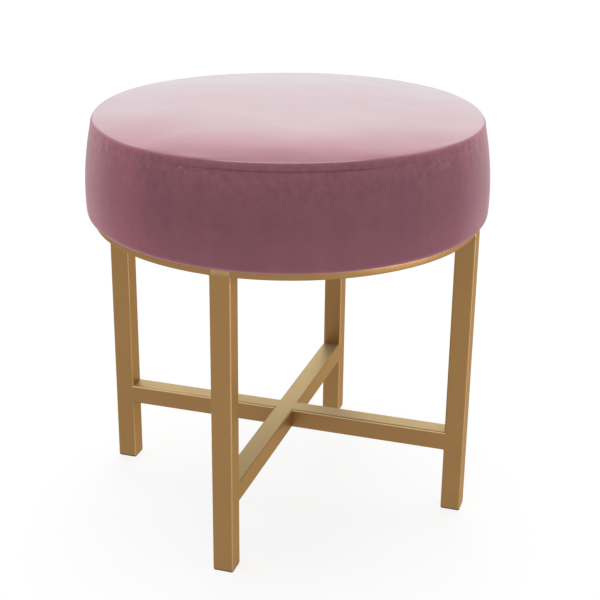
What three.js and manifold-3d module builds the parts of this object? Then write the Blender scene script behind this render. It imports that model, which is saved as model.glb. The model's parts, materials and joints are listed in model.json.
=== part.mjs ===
// X frame stool: a round upholstered drum seat, screwed to a welded frame of square steel tube.
// Millimetres, +Z up. The origin is on the floor, under the crossing of the stretchers.
// The front leg stands towards -Y and the right leg towards +X.

import * as THREE from 'three';
import { mergeVertices } from 'three/addons/utils/BufferGeometryUtils.js';
import Module from 'manifold-3d';

const wasm = await Module();
wasm.setup();

// Tube: one size for the legs and the stretchers
const tubeWidth = 25;
const tubeWall = 1.5;
const tubeCorner = 2.5;

// Frame
const legSpan = 476;
const ringUnderside = 370;
const stretcherUnderside = 83;

// Ring: flat steel, its edge a little behind the legs' outer faces
const ringInset = 2;
const ringWidth = 30;
const ringThickness = 8;
const ringChamfer = 0.6;

// Vent: the one small hole near the front leg that drains and airs the long stretcher
const ventDiameter = 2.5;
const ventFromLeg = 8.5;
const ventBelowTop = 4;

// Foot glides: a thin base under the tube, and a finned hollow plug inside it
const glideThickness = 1.5;
const glideInset = 0.5;
const plugHeight = 16;
const plugWall = 1.8;
const plugClearance = 0.15;
const finDepth = 1.2;
const finThickness = 1.2;
const finCount = 3;

// Seat, outside
const seatDiameter = 491;
const creaseHeight = 121;
const crownRise = 8;
const shoulderWidth = 5.5;
const seamDrop = 9;
const seamFold = 1.2;
const seamDrawIn = 9;
const lowerDrawIn = 0.6;
const lowerEdgeRadius = 8;
const widestShare = 0.18;

// Seat, inside
const coverThickness = 1.5;
const seamAllowance = 9;
const hemWidth = 36;
const dustCoverThickness = 0.6;
const dustCoverLap = 19.1;
const boardThickness = 15;
const fitGap = 0.3;

// Fixings: M6 screws from below, through the ring into tee nuts sunk in the board. Their circle is
// this far inside the seat's edge.
const fixingInset = 24;
const screwDiameter = 6;
const screwTipInset = 0.6;
const screwTipChamfer = 0.8;
const headDiameter = 10.5;
const headHeight = 3.3;
const headEdge = 0.8;
const socketWidth = 4;
const socketDepth = 2;
const screwHoleDiameter = 6.6;
const washerDiameter = 12;
const washerThickness = 1.6;
const teeBoreDiameter = 6.3;
const teeBarrelDiameter = 7.8;
const teeBarrelLength = 9;
const teeFlangeDiameter = 19;
const teeFlangeThickness = 1.2;
const teeClearance = 0.2;

// One overrun serves every cut
const cutOverrun = 1;

// Facets
const drumSides = 60;
const ringSides = 96;
const boltSides = 16;
const ventSides = 12;
const cornerSteps = 3;
const socketSides = 6;

// Where things lie along the surfaces that they follow
const crownShares = [0.45, 0.78];
const shoulderShares = [1 / 3, 2 / 3];
const swellShares = [1 / 3, 2 / 3];
const footShares = [0, 0.5];
const fixingAngleShares = [1 / 8, 3 / 8, 5 / 8, 7 / 8];

// Finishes
const goldPaint = { color: 0xb08c5c, roughness: 0.42, metalness: 0.55 };
const velvet = { color: 0x96616f, roughness: 0.95, metalness: 0 };
const blackPlastic = { color: 0x1f1b19, roughness: 0.6, metalness: 0 };
const plywood = { color: 0xc6a577, roughness: 0.8, metalness: 0 };
const creamFoam = { color: 0xe9e0c6, roughness: 1, metalness: 0 };
const whiteWadding = { color: 0xf1f0ec, roughness: 1, metalness: 0 };
const blackCloth = { color: 0x242326, roughness: 1, metalness: 0 };
const zincSteel = { color: 0xb7babd, roughness: 0.35, metalness: 0.9 };

// Levels of the frame, from the floor
const ringTop = ringUnderside + ringThickness;
const stretcherMiddle = stretcherUnderside + tubeWidth / 2;

// Plan of the frame, from the middle
const legCentre = (legSpan - tubeWidth) / 2;
const legInnerFace = legSpan / 2 - tubeWidth;
const ringRadius = legSpan / 2 - ringInset;

// Levels of the seat, from the ring's top face
const dustCoverBottom = fitGap;
const coverUnderside = dustCoverBottom + dustCoverThickness + fitGap;
const boardUnderside = coverUnderside + coverThickness + fitGap;
const boardTop = boardUnderside + boardThickness;
const foamBottom = boardTop + fitGap;
const seamLevel = creaseHeight - seamDrop;
const bandTop = seamLevel - fitGap / 2;
const panelBottom = seamLevel + fitGap / 2;
const foamTop = bandTop - coverThickness - fitGap;
const waddingBottom = foamTop + fitGap;
const lowerArcTop = coverUnderside + lowerEdgeRadius;
const widestLevel = lowerArcTop + widestShare * (bandTop - lowerArcTop);

// Plan of the seat, from the middle
const seatRadius = seatDiameter / 2;
const seamRadius = seatRadius - seamDrawIn;
const creaseRadius = seamRadius - shoulderWidth;
const lowerRadius = seatRadius - lowerDrawIn;
const underRadius = lowerRadius - lowerEdgeRadius;
const hemRadius = lowerRadius - hemWidth;
const allowanceRadius = seamRadius - seamAllowance;
const dustCoverRadius = hemRadius + dustCoverLap;

// The fixings' circle has to lie on the ring and under the board, and the ring reaches inwards to it
const fixingRadius = Math.min(seatRadius - fixingInset, ringRadius - ringWidth / 2);
const ringBore = fixingRadius - ringWidth / 2;

function toSolid(geometry) {
  const bare = geometry.clone();
  bare.deleteAttribute('normal');
  bare.deleteAttribute('uv');
  const merged = mergeVertices(bare);
  const corners = merged.index.array;
  const kept = [];
  for (let first = 0; first < corners.length; first += 3) {
    const [a, b, c] = corners.slice(first, first + 3);
    if (a !== b && b !== c && c !== a) kept.push(a, b, c);
  }
  return new wasm.Manifold(new wasm.Mesh({
    numProp: 3,
    vertProperties: merged.attributes.position.array,
    triVerts: new Uint32Array(kept),
  }));
}

function toGeometry(solid) {
  const mesh = solid.getMesh();
  const geometry = new THREE.BufferGeometry();
  geometry.setAttribute('position', new THREE.BufferAttribute(mesh.vertProperties, mesh.numProp));
  geometry.setIndex(new THREE.BufferAttribute(mesh.triVerts, 1));
  geometry.computeVertexNormals();
  return geometry;
}

function cut(geometry, tools) {
  return toGeometry(tools.reduce((solid, tool) => solid.subtract(toSolid(tool)), toSolid(geometry)));
}

function join(first, ...others) {
  return toGeometry(others.reduce((solid, other) => solid.add(toSolid(other)), toSolid(first)));
}

// Turns an outline of [radius, level] points about Z. The outline runs anticlockwise, from axis to
// axis or back to its first point.
function revolve(outline, sides) {
  const points = outline.map(([radius, level]) => new THREE.Vector2(radius, level));
  return new THREE.LatheGeometry(points, sides).rotateX(Math.PI / 2);
}

function revolveClosed(outline, sides) {
  return revolve([...outline, outline[0]], sides);
}

// An upright rod that starts at the given level
function rod(radius, length, sides, level) {
  return new THREE.CylinderGeometry(radius, radius, length, sides)
    .rotateX(Math.PI / 2)
    .translate(0, 0, level + length / 2);
}

function roundedSquare(target, width, corner) {
  const half = width / 2;
  const radius = Math.min(Math.max(corner, 0), half);
  const centre = half - radius;
  target.absarc(centre, centre, radius, 0, Math.PI / 2);
  target.absarc(-centre, centre, radius, Math.PI / 2, Math.PI);
  target.absarc(-centre, -centre, radius, Math.PI, 1.5 * Math.PI);
  target.absarc(centre, -centre, radius, 1.5 * Math.PI, 2 * Math.PI);
  target.closePath();
  return target;
}

function extrude(shape, depth, level = 0) {
  const settings = { depth, bevelEnabled: false, curveSegments: cornerSteps };
  return new THREE.ExtrudeGeometry(shape, settings).translate(0, 0, level);
}

function squareTube(width, wall, corner, length, level = 0) {
  const section = roundedSquare(new THREE.Shape(), width, corner);
  section.holes.push(roundedSquare(new THREE.Path(), width - 2 * wall, corner - wall));
  return extrude(section, length, level);
}

function squareBar(width, corner, length, level = 0) {
  return extrude(roundedSquare(new THREE.Shape(), width, corner), length, level);
}

function fixingPlaces() {
  return fixingAngleShares.map((share) => {
    const angle = share * 2 * Math.PI;
    return [fixingRadius * Math.cos(angle), fixingRadius * Math.sin(angle)];
  });
}

// Upright holes at the four fixings, from one level to another
function fixingHoles(diameter, from, to) {
  return fixingPlaces().map(([x, y]) => rod(diameter / 2, to - from, boltSides, from).translate(x, y, 0));
}

function piece(name, geometry, finish) {
  const mesh = new THREE.Mesh(geometry, new THREE.MeshStandardMaterial(finish));
  mesh.name = name;
  return mesh;
}

// The drum's outer radius at a level of the side band: a quarter round at the foot, then a side
// that swells to its widest and is drawn in again to the seam
function drumRadius(level) {
  if (level < lowerArcTop) {
    const drop = lowerArcTop - level;
    return underRadius + Math.sqrt(lowerEdgeRadius ** 2 - drop ** 2);
  }
  if (level < widestLevel) {
    return seatRadius - lowerDrawIn * ((widestLevel - level) / (widestLevel - lowerArcTop)) ** 2;
  }
  return seatRadius - seamDrawIn * ((level - widestLevel) / (bandTop - widestLevel)) ** 2;
}

// Points of the quarter round at the drum's foot, going up, on a circle of the given radius
function lowerRound(radius, shares) {
  return shares.map((share) => {
    const angle = share * Math.PI / 2;
    return [underRadius + radius * Math.sin(angle), lowerArcTop - radius * Math.cos(angle)];
  });
}

// The crown of the seat, or a layer at a depth under it, going out from the axis
function crown(depth) {
  return [0, ...crownShares, 1].map((share) => [
    creaseRadius * share,
    creaseHeight - depth + crownRise * (1 - share ** 2),
  ]);
}

// The shoulder between crease and seam, or a layer at a depth under it, going out and down
function shoulder(depth) {
  const foot = panelBottom + seamFold;
  const width = shoulderWidth - depth;
  const height = creaseHeight - depth - foot;
  return shoulderShares.map((share) => {
    const angle = share * Math.PI / 2;
    return [creaseRadius + width * Math.sin(angle), foot + height * Math.cos(angle)];
  });
}

// The band's inner surface: the levels where it bends, between the foot and the allowance
function innerSideLevels() {
  const top = bandTop - coverThickness;
  return [lowerArcTop, widestLevel, (widestLevel + top) / 2, top];
}

function coverPanelGeometry() {
  const inside = seamRadius - coverThickness;
  const allowanceTop = panelBottom + coverThickness;
  return revolve([
    ...crown(coverThickness),
    ...shoulder(coverThickness),
    [inside, allowanceTop],
    [allowanceRadius, allowanceTop],
    [allowanceRadius, panelBottom],
    [seamRadius - seamFold, panelBottom],
    [seamRadius, panelBottom + seamFold],
    ...shoulder(0).reverse(),
    ...crown(0).reverse(),
  ], drumSides);
}

function coverBandGeometry() {
  const outerFoot = lowerRound(lowerEdgeRadius, footShares);
  const innerFoot = lowerRound(lowerEdgeRadius - coverThickness, footShares);
  const outerTop = bandTop - seamFold;
  const swell = swellShares.map((share) => widestLevel + share * (outerTop - widestLevel));
  const outerSide = [lowerArcTop, widestLevel, ...swell, outerTop];
  const allowanceUnderside = bandTop - coverThickness;
  const band = revolveClosed([
    [hemRadius, coverUnderside],
    ...outerFoot,
    ...outerSide.map((level) => [drumRadius(level), level]),
    [seamRadius - seamFold, bandTop],
    [allowanceRadius, bandTop],
    [allowanceRadius, allowanceUnderside],
    ...innerSideLevels().reverse().map((level) => [drumRadius(level) - coverThickness, level]),
    ...innerFoot.reverse(),
    [hemRadius, coverUnderside + coverThickness],
  ], drumSides);
  const from = coverUnderside - cutOverrun;
  const to = coverUnderside + coverThickness + cutOverrun;
  return cut(band, fixingHoles(screwHoleDiameter, from, to));
}

function waddingGeometry() {
  const depth = coverThickness + fitGap;
  const allowanceTop = panelBottom + depth;
  return revolve([
    [0, waddingBottom],
    [allowanceRadius - fitGap, waddingBottom],
    [allowanceRadius - fitGap, allowanceTop],
    [seamRadius - depth, allowanceTop],
    ...shoulder(depth).reverse(),
    ...crown(depth).reverse(),
  ], drumSides);
}

function foamGeometry() {
  const depth = coverThickness + fitGap;
  const side = innerSideLevels().filter((level) => level > foamBottom && level < foamTop);
  return revolve([
    [0, foamBottom],
    [lowerRadius - depth, foamBottom],
    ...side.map((level) => [drumRadius(level) - depth, level]),
    [seamRadius - depth, foamTop],
    [0, foamTop],
  ], drumSides);
}

function boardGeometry() {
  const depth = coverThickness + fitGap;
  const foot = lowerRound(lowerEdgeRadius - depth, [...footShares, 1]);
  const board = revolve([
    [0, boardUnderside],
    ...foot,
    [lowerRadius - depth, boardTop],
    [0, boardTop],
  ], drumSides);
  const barrelHole = teeBarrelDiameter + 2 * teeClearance;
  const flangeRecess = teeFlangeDiameter + 2 * teeClearance;
  return cut(board, [
    ...fixingHoles(barrelHole, boardUnderside - cutOverrun, boardTop + cutOverrun),
    ...fixingHoles(flangeRecess, boardTop - teeFlangeThickness, boardTop + cutOverrun),
  ]);
}

function dustCoverGeometry() {
  const sheet = rod(dustCoverRadius, dustCoverThickness, drumSides, dustCoverBottom);
  const to = dustCoverBottom + dustCoverThickness + cutOverrun;
  return cut(sheet, fixingHoles(screwHoleDiameter, dustCoverBottom - cutOverrun, to));
}

function ringGeometry() {
  const flat = revolveClosed([
    [ringBore + ringChamfer, 0],
    [ringRadius - ringChamfer, 0],
    [ringRadius, ringChamfer],
    [ringRadius, ringThickness - ringChamfer],
    [ringRadius - ringChamfer, ringThickness],
    [ringBore + ringChamfer, ringThickness],
    [ringBore, ringThickness - ringChamfer],
    [ringBore, ringChamfer],
  ], ringSides);
  return cut(flat, fixingHoles(screwHoleDiameter, -cutOverrun, ringThickness + cutOverrun));
}

function stretcherGeometry(length) {
  return squareTube(tubeWidth, tubeWall, tubeCorner, length);
}

// The long stretcher lies on its side here: its length runs along Z and its top faces -Y
function longStretcherGeometry() {
  const depth = tubeWall + cutOverrun;
  const vent = new THREE.CylinderGeometry(ventDiameter / 2, ventDiameter / 2, 2 * depth, ventSides)
    .rotateZ(Math.PI / 2)
    .translate(tubeWidth / 2, ventBelowTop - tubeWidth / 2, ventFromLeg);
  return cut(stretcherGeometry(2 * legInnerFace), [vent]);
}

function glideGeometry() {
  const finWidth = tubeWidth - 2 * tubeWall - 2 * plugClearance;
  const finCorner = tubeCorner - tubeWall - plugClearance;
  const plugWidth = finWidth - 2 * finDepth;
  const finPitch = plugHeight / (finCount + 1);
  const base = squareBar(tubeWidth - 2 * glideInset, tubeCorner - glideInset, glideThickness);
  const buried = glideThickness / 2;
  const plug = squareTube(plugWidth, plugWall, 0, plugHeight + buried, glideThickness - buried);
  const fins = Array.from({ length: finCount }, (_, index) => {
    const level = glideThickness + (index + 1) * finPitch;
    return squareTube(finWidth, finDepth + plugWall / 2, finCorner, finThickness, level);
  });
  return join(base, plug, ...fins);
}

// Origin at the bearing face, head below
function screwGeometry() {
  const radius = screwDiameter / 2;
  const length = washerThickness + ringThickness + boardTop - screwTipInset;
  const screw = revolve([
    [0, -headHeight],
    [headDiameter / 4, -headHeight],
    [headDiameter / 2, -headEdge],
    [headDiameter / 2, 0],
    [radius, 0],
    [radius, length - screwTipChamfer],
    [radius - screwTipChamfer, length],
    [0, length],
  ], boltSides);
  const socketRadius = socketWidth / (2 * Math.cos(Math.PI / socketSides));
  const socket = rod(socketRadius, socketDepth + cutOverrun, socketSides, -headHeight - cutOverrun);
  return cut(screw, [socket]);
}

function washerGeometry() {
  return revolveClosed([
    [screwHoleDiameter / 2, 0],
    [washerDiameter / 2, 0],
    [washerDiameter / 2, washerThickness],
    [screwHoleDiameter / 2, washerThickness],
  ], boltSides);
}

// Origin at the flange's top face, barrel below
function teeNutGeometry() {
  return revolveClosed([
    [teeBoreDiameter / 2, -teeFlangeThickness - teeBarrelLength],
    [teeBarrelDiameter / 2, -teeFlangeThickness - teeBarrelLength],
    [teeBarrelDiameter / 2, -teeFlangeThickness],
    [teeFlangeDiameter / 2, -teeFlangeThickness],
    [teeFlangeDiameter / 2, 0],
    [teeBoreDiameter / 2, 0],
  ], boltSides);
}

function makeFrame() {
  const frame = new THREE.Group();
  const sides = { front: [0, -1], back: [0, 1], left: [-1, 0], right: [1, 0] };
  for (const [side, [x, y]] of Object.entries(sides)) {
    const leg = piece(
      `leg_${side}`,
      squareTube(tubeWidth, tubeWall, tubeCorner, ringUnderside - glideThickness),
      goldPaint,
    );
    leg.position.set(x * legCentre, y * legCentre, glideThickness);
    const glide = piece(`foot_glide_${side}`, glideGeometry(), blackPlastic);
    glide.position.set(x * legCentre, y * legCentre, 0);
    frame.add(leg, glide);
  }

  const long = piece('stretcher_long', longStretcherGeometry(), goldPaint);
  long.rotation.x = -Math.PI / 2;
  long.position.set(0, -legInnerFace, stretcherMiddle);

  const shortLength = legInnerFace - tubeWidth / 2;
  const left = piece('stretcher_left', stretcherGeometry(shortLength), goldPaint);
  left.rotation.y = Math.PI / 2;
  left.position.set(-legInnerFace, 0, stretcherMiddle);
  const right = piece('stretcher_right', stretcherGeometry(shortLength), goldPaint);
  right.rotation.y = Math.PI / 2;
  right.position.set(tubeWidth / 2, 0, stretcherMiddle);

  const ring = piece('seat_ring', ringGeometry(), goldPaint);
  ring.position.z = ringUnderside;
  frame.add(long, left, right, ring);
  return frame;
}

function makeSeat() {
  const seat = new THREE.Group();
  seat.position.z = ringTop;
  seat.add(
    piece('seat_cover_panel', coverPanelGeometry(), velvet),
    piece('seat_cover_band', coverBandGeometry(), velvet),
    piece('seat_wadding', waddingGeometry(), whiteWadding),
    piece('seat_foam', foamGeometry(), creamFoam),
    piece('seat_board', boardGeometry(), plywood),
    piece('dust_cover', dustCoverGeometry(), blackCloth),
  );
  return seat;
}

function makeFixings() {
  const fixings = new THREE.Group();
  fixingPlaces().forEach(([x, y], index) => {
    const number = index + 1;
    const screw = piece(`seat_screw_${number}`, screwGeometry(), zincSteel);
    screw.position.set(x, y, ringUnderside - washerThickness);
    const washer = piece(`screw_washer_${number}`, washerGeometry(), zincSteel);
    washer.position.set(x, y, ringUnderside - washerThickness);
    const teeNut = piece(`tee_nut_${number}`, teeNutGeometry(), zincSteel);
    teeNut.position.set(x, y, ringTop + boardTop);
    fixings.add(screw, washer, teeNut);
  });
  return fixings;
}

const stool = new THREE.Group();
stool.add(makeFrame(), makeSeat(), makeFixings());

export default stool;
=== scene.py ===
# X frame stool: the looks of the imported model, in metres, in the same frame as the CAD.

import json
import math

import bmesh
import bpy
import numpy as np
from mathutils import Matrix, Vector, noise


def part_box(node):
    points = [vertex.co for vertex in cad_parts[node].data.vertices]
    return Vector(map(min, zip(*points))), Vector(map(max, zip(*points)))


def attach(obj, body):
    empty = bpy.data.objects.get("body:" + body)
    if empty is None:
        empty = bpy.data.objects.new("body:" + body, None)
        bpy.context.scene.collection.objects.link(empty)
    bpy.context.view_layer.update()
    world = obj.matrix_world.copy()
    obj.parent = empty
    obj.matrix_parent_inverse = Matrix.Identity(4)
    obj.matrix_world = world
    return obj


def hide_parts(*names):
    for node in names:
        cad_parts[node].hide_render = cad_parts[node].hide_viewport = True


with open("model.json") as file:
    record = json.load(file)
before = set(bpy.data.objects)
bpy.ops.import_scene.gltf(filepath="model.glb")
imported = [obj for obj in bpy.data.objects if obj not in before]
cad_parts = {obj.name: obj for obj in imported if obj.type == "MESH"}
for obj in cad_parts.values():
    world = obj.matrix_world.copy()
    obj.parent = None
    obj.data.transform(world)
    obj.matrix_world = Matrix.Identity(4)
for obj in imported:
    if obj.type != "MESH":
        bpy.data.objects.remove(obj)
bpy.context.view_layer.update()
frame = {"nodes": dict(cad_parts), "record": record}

MM = 0.001

# The photograph's camera: angles in degrees, focal length in pixels of a 600-pixel frame.
# Azimuth 0 is the -Y side and 90 is +X, here and for the lamps.
IMAGE_SIZE = 600
FOCAL_PIXELS = 1312.59
SENSOR_WIDTH = 36
CAMERA_AZIMUTH = 17.297
CAMERA_ELEVATION = 21.517
CAMERA_ROLL = 0.6555
CAMERA_DISTANCE = 1665.94 * MM
CAMERA_SIDESTEP = 16.444 * MM
CAMERA_TARGET_HEIGHT = 255.357 * MM

# Tube, ring and welds
TUBE_WALL = 1.5 * MM
TUBE_CORNER = 2.5 * MM
TUBE_EDGE = 0.3 * MM
TUBE_EDGE_MIDDLE_SHARE = 0.3
CORNER_STEPS = 7
FACE_GUARD = 0.4 * MM
RING_EDGE = 0.9 * MM
RING_STEPS = 5
RING_SIDES = 288
HOLE_SIDES = 24
VENT_RADIUS = 1.25 * MM
VENT_FROM_LEG = 8.5 * MM
VENT_BELOW_TOP = 4 * MM
WELD_SINK = 0.3 * MM
WELD_RIPPLE_SHARE = 0.05
WELD_PITCH = 2.4 * MM
WELD_STEP = 0.6 * MM
WELD_SECTION_STEPS = 8
WELD_TAPER_POWER = 8
WELD_LEAST_TAPER = 0.02
STRETCHER_WELD = 4.6 * MM
RING_INNER_WELD = 2.4 * MM
RING_LEDGE_WELD = 7.2 * MM
LEDGE_WELD_END = 0.2 * MM
LEDGE_WELD_STEPS = 33
WELD_SKIN = 0.03 * MM

# Fillets beside each leg at the ring, one for each side of the leg
RING_SIDE_WELDS = {
    "front": (3.8 * MM, 1.4 * MM),
    "back": (1.8 * MM, 2.2 * MM),
    "left": (1.5 * MM, 2.0 * MM),
    "right": (2.0 * MM, 1.5 * MM),
}

# Seat cover
COVER_THICKNESS = 1.5 * MM
CROWN_RISE = 8 * MM
CROWN_POWER = 3.2
SHOULDER_WIDTH = 5.5 * MM
SHOULDER_POWER = 0.72
SEAM_FOLD = 1.0 * MM
SEAM_CLOSING = 0.13 * MM
SEAM_ALLOWANCE = 9 * MM
LOWER_DRAW_IN = 0.6 * MM
LOWER_EDGE_RADIUS = 8 * MM
FOOT_OVERHANG = 0.9 * MM
FOOT_ROLL = 6 * MM
FOOT_ROLL_MIDDLE_SHARE = 0.7
HEM_WIDTH = 36 * MM
WIDEST_SHARE = 0.18
CROWN_RINGS = 50
COVER_SIDES = 6 * CROWN_RINGS
RIM_STEPS = 9
FOLD_STEPS = 4
ALLOWANCE_STEPS = 2
SIDE_STEPS = 24
FOOT_STEPS = 6
HEM_STEPS = 6

# The fold at the seam is tight, and open round this angle and the opposite one. The finish paints
# shade in the front one's seam and a highlight on its crease, where a point lies farther than
# OPEN_FRONT_FROM from the middle towards this angle.
TIGHT_SEAM_FOLD = 0.2 * MM
OPEN_SEAM_AT = math.radians(-71.6)
OPEN_SEAM_SLOPE = 3
OPEN_SEAM_CUT = 1.5
OPEN_FRONT_FROM = (217 * MM, 223 * MM)

# The seam's slow wander up and down round the seat: a constant part, then waves of
# (number round the seat, height, where in the wave its crest is). Angles start at WANDER_FROM.
WANDER_FROM = math.radians(CAMERA_AZIMUTH - 90)
WANDER_BASE = -0.65 * MM
WANDER_WAVES = (
    (1, 0.49 * MM, math.radians(90)),
    (2, 0.62 * MM, math.radians(31)),
    (3, 1.32 * MM, math.radians(17)),
)
WANDER_POWER = 2.5

# Cloth simulation of the cover
CLOTH_FRAMES = 20
CLOTH_SETTINGS = {
    "quality": 6,
    "mass": 0.3,
    "tension_stiffness": 20,
    "compression_stiffness": 20,
    "bending_stiffness": 0.8,
    "use_pressure": True,
    "uniform_pressure_force": 4,
}
CLOTH_CAP = 1.2 * MM
CLOTH_ROOM = 1.0 * MM
CLOTH_EVENING = 160
FOAM_LUMP = 0.25 * MM
FOAM_LUMP_SIZE = 70 * MM
FOAM_LUMP_SEED = 3

# Puckers where the two cover pieces are sewn together
PUCKER_SEED = 7
PUCKER_SPACING = 9 * MM
PUCKER_JITTER = 0.4
PUCKER_LEAST_STRENGTH = 0.35
PUCKER_STRETCHES = 3
PUCKER_DEPTHS = (0.2 * MM, 1.1 * MM)
PUCKER_WIDTHS = (1.8 * MM, 3.6 * MM)
PUCKER_REACHES = (4 * MM, 13 * MM)
PANEL_PUCKER_SHARE = 0.45
CREASE_WAVE = 0.24 * MM
CREASE_WAVE_LENGTH = 55 * MM
CREASE_WAVE_REACH = 6 * MM
CREASE_WAVE_SEED = 5

# Foam and wadding. The shares are of the radius, for the rings of points across a face.
SOFT_GAP = 2.6 * MM
FILLING_SIDES = 180
FOAM_STEPS = 16
FOAM_EDGE = 3 * MM
FOAM_FACE_SHARES = (0.3, 0.7)
WADDING_UNDERSIDE_SHARES = (0.1, 0.3, 0.5, 0.7, 0.9, 1)
WADDING_TOP_SHARES = (1, 0.97, 0.9, 0.8, 0.7, 0.6, 0.5, 0.4, 0.3, 0.2, 0.1)

# Dust cover
DUST_COVER_SAG = 1.5 * MM
DUST_COVER_RINGS = 40
DUST_COVER_THICKNESS = 0.35 * MM
DUST_COVER_WRINKLE = 0.25 * MM
DUST_COVER_WRINKLE_SIZE = 45 * MM
DUST_COVER_SEED = 9

# Screws and washers. Shares are of the head's radius, or of the washer's radius, thickness or width.
SCREW_COUNT = 4
BOLT_SIDES = 48
SCREW_HEAD_EDGE = 0.8 * MM
SCREW_DOME_FLAT_SHARE = 0.5
SCREW_DOME_STEPS = 8
SCREW_SHANK_SHARE = 0.57
WASHER_BORE_SHARE = 0.55
WASHER_EDGE_SHARE = 0.2
RING_HOLE_SHARE = 0.275

# Hexagon socket, as rows of (share of its width, depth) from its bottom to its rim
SOCKET_WIDTH = 4 * MM
SOCKET_DEPTH = 2 * MM
SOCKET_SIDES = 6
SOCKET_ROWS = ((0.15, SOCKET_DEPTH * 1.15), (1, SOCKET_DEPTH), (1, 0.1 * MM), (1.06, 0))

# Smooth shading stops at edges sharper than this
SHARP_ANGLE = math.radians(32)

# Floor: its grey for the light that falls on the stool, its grey as seen, and its glow as seen
FLOOR_HALF_WIDTH = 15
FLOOR_GREY = 0.7
FLOOR_SEEN_GREY = 0.2
FLOOR_GLOW = 0.84

# Lamps, as (azimuth, elevation, strength, spread), angles in degrees. A card lights the gloss alone.
WORLD_STRENGTH = 0.5
LAMPS = {"top_lamp": (197, 72, 1.3, 60), "back_lamp": (192, 20, 0.6, 34)}
CARDS = {"front_card": (-18, 40, 0.5, 20), "side_card": (90, 2, 6.0, 40)}


def grey(value):
    return (value, value, value, 1)


BLACK = grey(0)
WHITE = grey(1)

# Sizes and levels of the frame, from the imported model
leg_low, leg_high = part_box("leg_front")
TUBE_WIDTH = leg_high.x - leg_low.x
LEG_BOTTOM = leg_low.z
RING_UNDERSIDE = leg_high.z
# Where the painted highlight on the legs' corners fades out below the ring.
CORNER_HIGHLIGHT_END = (RING_UNDERSIDE - 6 * MM, RING_UNDERSIDE - 4 * MM)
LEG_CENTRE = -(leg_low.y + leg_high.y) / 2
LEG_INNER_FACE = -leg_high.y
ring_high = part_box("seat_ring")[1]
RING_TOP = ring_high.z
RING_RADIUS = ring_high.x
stretcher_low, stretcher_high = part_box("stretcher_long")
STRETCHER_UNDERSIDE = stretcher_low.z
STRETCHER_TOP = stretcher_high.z
STRETCHER_MIDDLE = (STRETCHER_UNDERSIDE + STRETCHER_TOP) / 2
screw_low, screw_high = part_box("seat_screw_1")
FIXING_RADIUS = math.hypot(screw_low.x + screw_high.x, screw_low.y + screw_high.y) / 2
RING_BORE = 2 * FIXING_RADIUS - RING_RADIUS

# Sizes and levels of the seat
panel_low, panel_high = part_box("seat_cover_panel")
band_low, band_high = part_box("seat_cover_band")
CROWN_TOP = panel_high.z
CREASE_LEVEL = CROWN_TOP - CROWN_RISE
PANEL_BOTTOM = panel_low.z
SEAM_RADIUS = panel_high.x
CREASE_RADIUS = SEAM_RADIUS - SHOULDER_WIDTH
BAND_TOP = band_high.z
BAND_BOTTOM = band_low.z
SEAT_RADIUS = band_high.x
SEAM_DRAW_IN = SEAT_RADIUS - SEAM_RADIUS
LOWER_RADIUS = SEAT_RADIUS - LOWER_DRAW_IN
HEM_RADIUS = LOWER_RADIUS - HEM_WIDTH
FOOT_TOP = BAND_BOTTOM + LOWER_EDGE_RADIUS
WIDEST_LEVEL = FOOT_TOP + WIDEST_SHARE * (BAND_TOP - FOOT_TOP)

# Legs, as the direction from the middle to each
SIDES = {
    "front": Vector((0, -1, 0)),
    "back": Vector((0, 1, 0)),
    "left": Vector((-1, 0, 0)),
    "right": Vector((1, 0, 0)),
}
UP = Vector((0, 0, 1))


class Shade:
    """A node tree, or one socket of it. Sums and products of sockets add Math nodes."""

    def __init__(self, tree, socket=None):
        self.tree = tree
        self.socket = socket

    def add(self, kind, settings=None, sockets=None, out=0):
        """Adds a node: its settings first, then the values or links of its sockets."""
        node = self.tree.nodes.new(kind)
        for name, value in (settings or {}).items():
            if name == "stops":
                set_stops(node.color_ramp, value)
            else:
                setattr(node, name, value)
        for name, value in (sockets or {}).items():
            if isinstance(value, Shade):
                self.tree.links.new(value.socket, node.inputs[name])
            else:
                node.inputs[name].default_value = value
        return Shade(self.tree, node.outputs[out] if node.outputs else None)

    def math(self, operation, first, second):
        return self.add("ShaderNodeMath", {"operation": operation}, {0: first, 1: second})

    def __add__(self, other):
        return self.math("ADD", self, other)

    __radd__ = __add__

    def __sub__(self, other):
        return self.math("SUBTRACT", self, other)

    def __rsub__(self, other):
        return self.math("SUBTRACT", other, self)

    def __mul__(self, other):
        return self.math("MULTIPLY", self, other)

    __rmul__ = __mul__

    def mix(self, low, high):
        """The colour low where this value is 0, and high where it is 1."""
        sockets = {"Factor": self, 6: low, 7: high}
        return self.add("ShaderNodeMix", {"data_type": "RGBA"}, sockets, out=2)

    def stretch(self, factors):
        """This place, each of its axes times a factor."""
        return self.add("ShaderNodeVectorMath", {"operation": "MULTIPLY"}, {0: self, 1: factors})

    def noise(self, scale, detail=2.0, roughness=0.5):
        """Noise from 0 to 1 at this place, with that many lumps to the metre."""
        sockets = {"Vector": self, "Scale": scale, "Detail": detail, "Roughness": roughness}
        return self.add("ShaderNodeTexNoise", None, sockets)

    def ramp(self, *stops):
        """A colour for this value, between stops of (value, colour)."""
        return self.add("ShaderNodeValToRGB", {"stops": stops}, {"Fac": self})

    def mask(self, *stops):
        """1 for this value between the second stop and the third, 0 before the first and after the
        fourth. With two stops it stays 1."""
        return self.ramp(*zip(stops, (BLACK, WHITE, WHITE, BLACK)))

    def axis(self, name):
        """The X, Y or Z of this place or direction."""
        return self.add("ShaderNodeSeparateXYZ", None, {0: self}, out=name)

    def normal(self):
        """The direction that the surface faces."""
        return self.add("ShaderNodeTexCoord", out="Normal")

    def times(self, factor):
        """This colour, brighter or darker by a factor."""
        return self.add("ShaderNodeVectorMath", {"operation": "SCALE"}, {0: self, "Scale": factor})

    def bump(self, distance, strength=1.0):
        """The normal of a surface with this height, in distances of that length."""
        sockets = {"Height": self, "Distance": distance, "Strength": strength}
        return self.add("ShaderNodeBump", None, sockets)


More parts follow.
